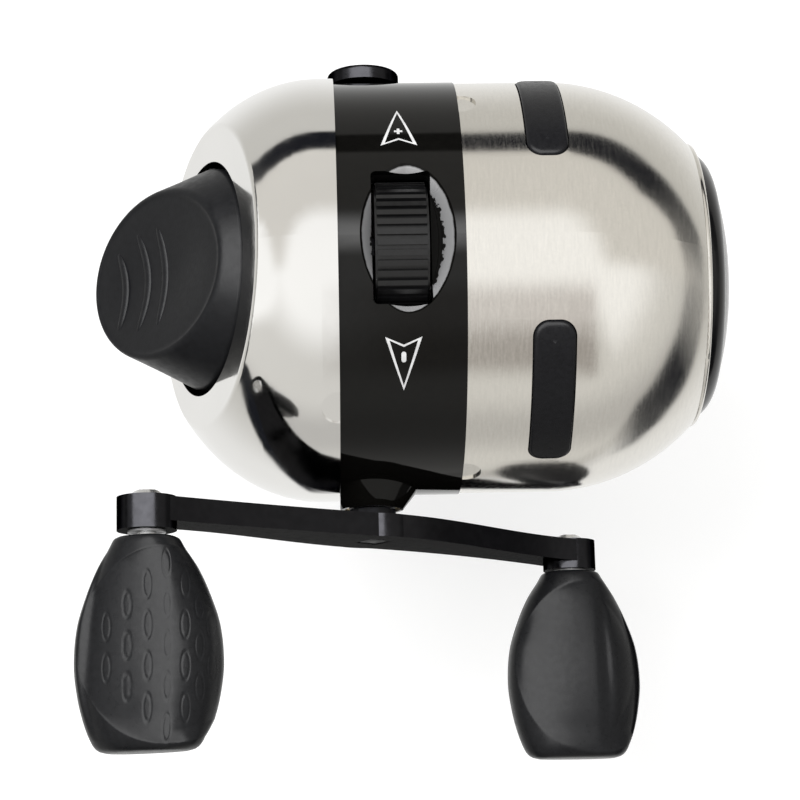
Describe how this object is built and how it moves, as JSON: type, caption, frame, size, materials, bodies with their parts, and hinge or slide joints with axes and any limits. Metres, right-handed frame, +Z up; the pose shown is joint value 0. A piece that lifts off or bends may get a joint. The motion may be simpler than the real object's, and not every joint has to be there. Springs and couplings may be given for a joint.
{
  "type": "spincast reel",
  "caption": "Closed-face spincast fishing reel with polished covers, black centre band, slanted thumb button, thumb-wheel drag and double-paddle crank.",
  "frame": {"origin": "centre of the underside of the reel foot, where the foot rests in the rod's reel seat", "axes": "+X forward along the reel axis towards the line exit, +Z up from the foot to the reel axis, crank handle on the -Y side"},
  "size_m": [0.1018, 0.1107, 0.0769],
  "materials": {
    "band_gloss_black": "gloss black lacquer",
    "brushed_stainless": "satin, brushed round the nose",
    "polished_chrome": "mirror polished",
    "nose_gloss_black": "gloss black",
    "guide_steel": "polished hard steel",
    "pad_rubber": "matte black rubber",
    "button_matte_black": "matte black",
    "wheel_black": "satin black, ribbed",
    "arm_gloss_black": "gloss black coat",
    "knob_soft_black": "matte soft-touch charcoal",
    "cap_black": "satin black",
    "foot_black_metal": "satin black coat",
    "rivet_silver": "bright rivet",
    "steel_fasteners": "zinc-plated steel",
    "steel_turned": "turned steel",
    "spring_steel": "drawn wire",
    "gear_alloy": "die cast, as cast",
    "die_cast_alloy": "die cast, as cast",
    "bushing_brass": "machined",
    "cage_nylon": "natural nylon",
    "spool_plastic": "satin black"
  },
  "bodies": {
    "root": {"main_body": "band_gloss_black", "crank_bushings": "bushing_brass", "center_hub": "die_cast_alloy", "hub_screws": "steel_fasteners", "pinion_bushing": "bushing_brass", "front_cover": "brushed_stainless", "grip_pad_1": "pad_rubber", "grip_pad_2": "pad_rubber", "grip_pad_3": "pad_rubber", "grip_pad_4": "pad_rubber", "nose_ring": "nose_gloss_black", "line_guide": "guide_steel", "rear_cover": "polished_chrome", "drag_washer": "steel_fasteners", "spool_washer": "steel_fasteners", "spool_nut": "die_cast_alloy", "clutch_race": "steel_turned", "clutch_rollers": "steel_turned", "clutch_cage": "cage_nylon", "main_spring": "spring_steel", "reel_foot": "foot_black_metal", "foot_screws": "steel_fasteners"},
    "crank": {"crank_arm": "arm_gloss_black", "crank_shaft": "steel_turned", "drive_gear": "gear_alloy", "clutch_sleeve": "steel_turned", "handle_cap": "cap_black", "knob_rivets": "rivet_silver", "knob_washers": "steel_fasteners"},
    "rear_grip": {"knob_rear": "knob_soft_black", "knob_cap_rear": "cap_black"},
    "front_grip": {"knob_front": "knob_soft_black", "knob_cap_front": "cap_black"},
    "pinion": {"pinion_gear": "bushing_brass"},
    "button": {"thumb_button": "button_matte_black", "push_yoke": "steel_turned"},
    "rotor": {"center_shaft": "steel_turned", "spring_clip": "steel_fasteners", "spinner_head": "die_cast_alloy", "head_nut": "bushing_brass"},
    "pin": {"pickup_pin": "steel_turned"},
    "spool_body": {"spool": "spool_plastic"},
    "wheel": {"drag_wheel": "wheel_black"},
    "brake": {"drag_screw": "steel_turned", "drag_pad": "pad_rubber"}
  },
  "joints": [
    {"name": "crank_spin", "type": "hinge", "parent": "root", "child": "crank", "pos_m": [-0.0044, -0.0389, 0.042], "axis": [0, 1, 0], "continuous": true},
    {"name": "rear_knob_spin", "type": "hinge", "parent": "crank", "child": "rear_grip", "pos_m": [-0.03805, -0.0577, 0.06829], "axis": [0, 1, 0], "continuous": true},
    {"name": "front_knob_spin", "type": "hinge", "parent": "crank", "child": "front_grip", "pos_m": [0.02925, -0.0577, 0.01571], "axis": [0, 1, 0], "continuous": true},
    {"name": "pinion_spin", "type": "hinge", "parent": "root", "child": "pinion", "pos_m": [0.0086, 0, 0.042], "axis": [1, 0, 0], "continuous": true},
    {"name": "button_press", "type": "slide", "parent": "root", "child": "button", "axis": [1, 0, 0], "range_m": [0, 0.0045], "stiffness_N_per_m": 500, "springref_m": -0.004, "deforming": ["main_spring"]},
    {"name": "rotor_spin", "type": "hinge", "parent": "button", "child": "rotor", "pos_m": [0.02, 0, 0.042], "axis": [1, 0, 0], "continuous": true},
    {"name": "pin_retract", "type": "slide", "parent": "rotor", "child": "pin", "axis": [0, 0, 1], "range_m": [-0.0027, 0]},
    {"name": "spool_slip", "type": "hinge", "parent": "root", "child": "spool_body", "pos_m": [0.0235, 0, 0.042], "axis": [1, 0, 0], "continuous": true},
    {"name": "drag_wheel_turn", "type": "hinge", "parent": "root", "child": "wheel", "pos_m": [0, 0, 0.0665], "axis": [1, 0, 0], "range_deg": [-180, 180]},
    {"name": "drag_screw_travel", "type": "slide", "parent": "wheel", "child": "brake", "axis": [1, 0, 0], "range_m": [-0.0004, 0.0004]}
  ],
  "couplings": [
    {"joint": "pinion_spin", "follows": "crank_spin", "ratio": 4},
    {"joint": "rotor_spin", "follows": "crank_spin", "ratio": 4},
    {"joint": "pin_retract", "follows": "button_press", "ratio": -0.6},
    {"joint": "drag_wheel_turn", "follows": "drag_screw_travel", "rad_per_m": 7854}
  ]
}
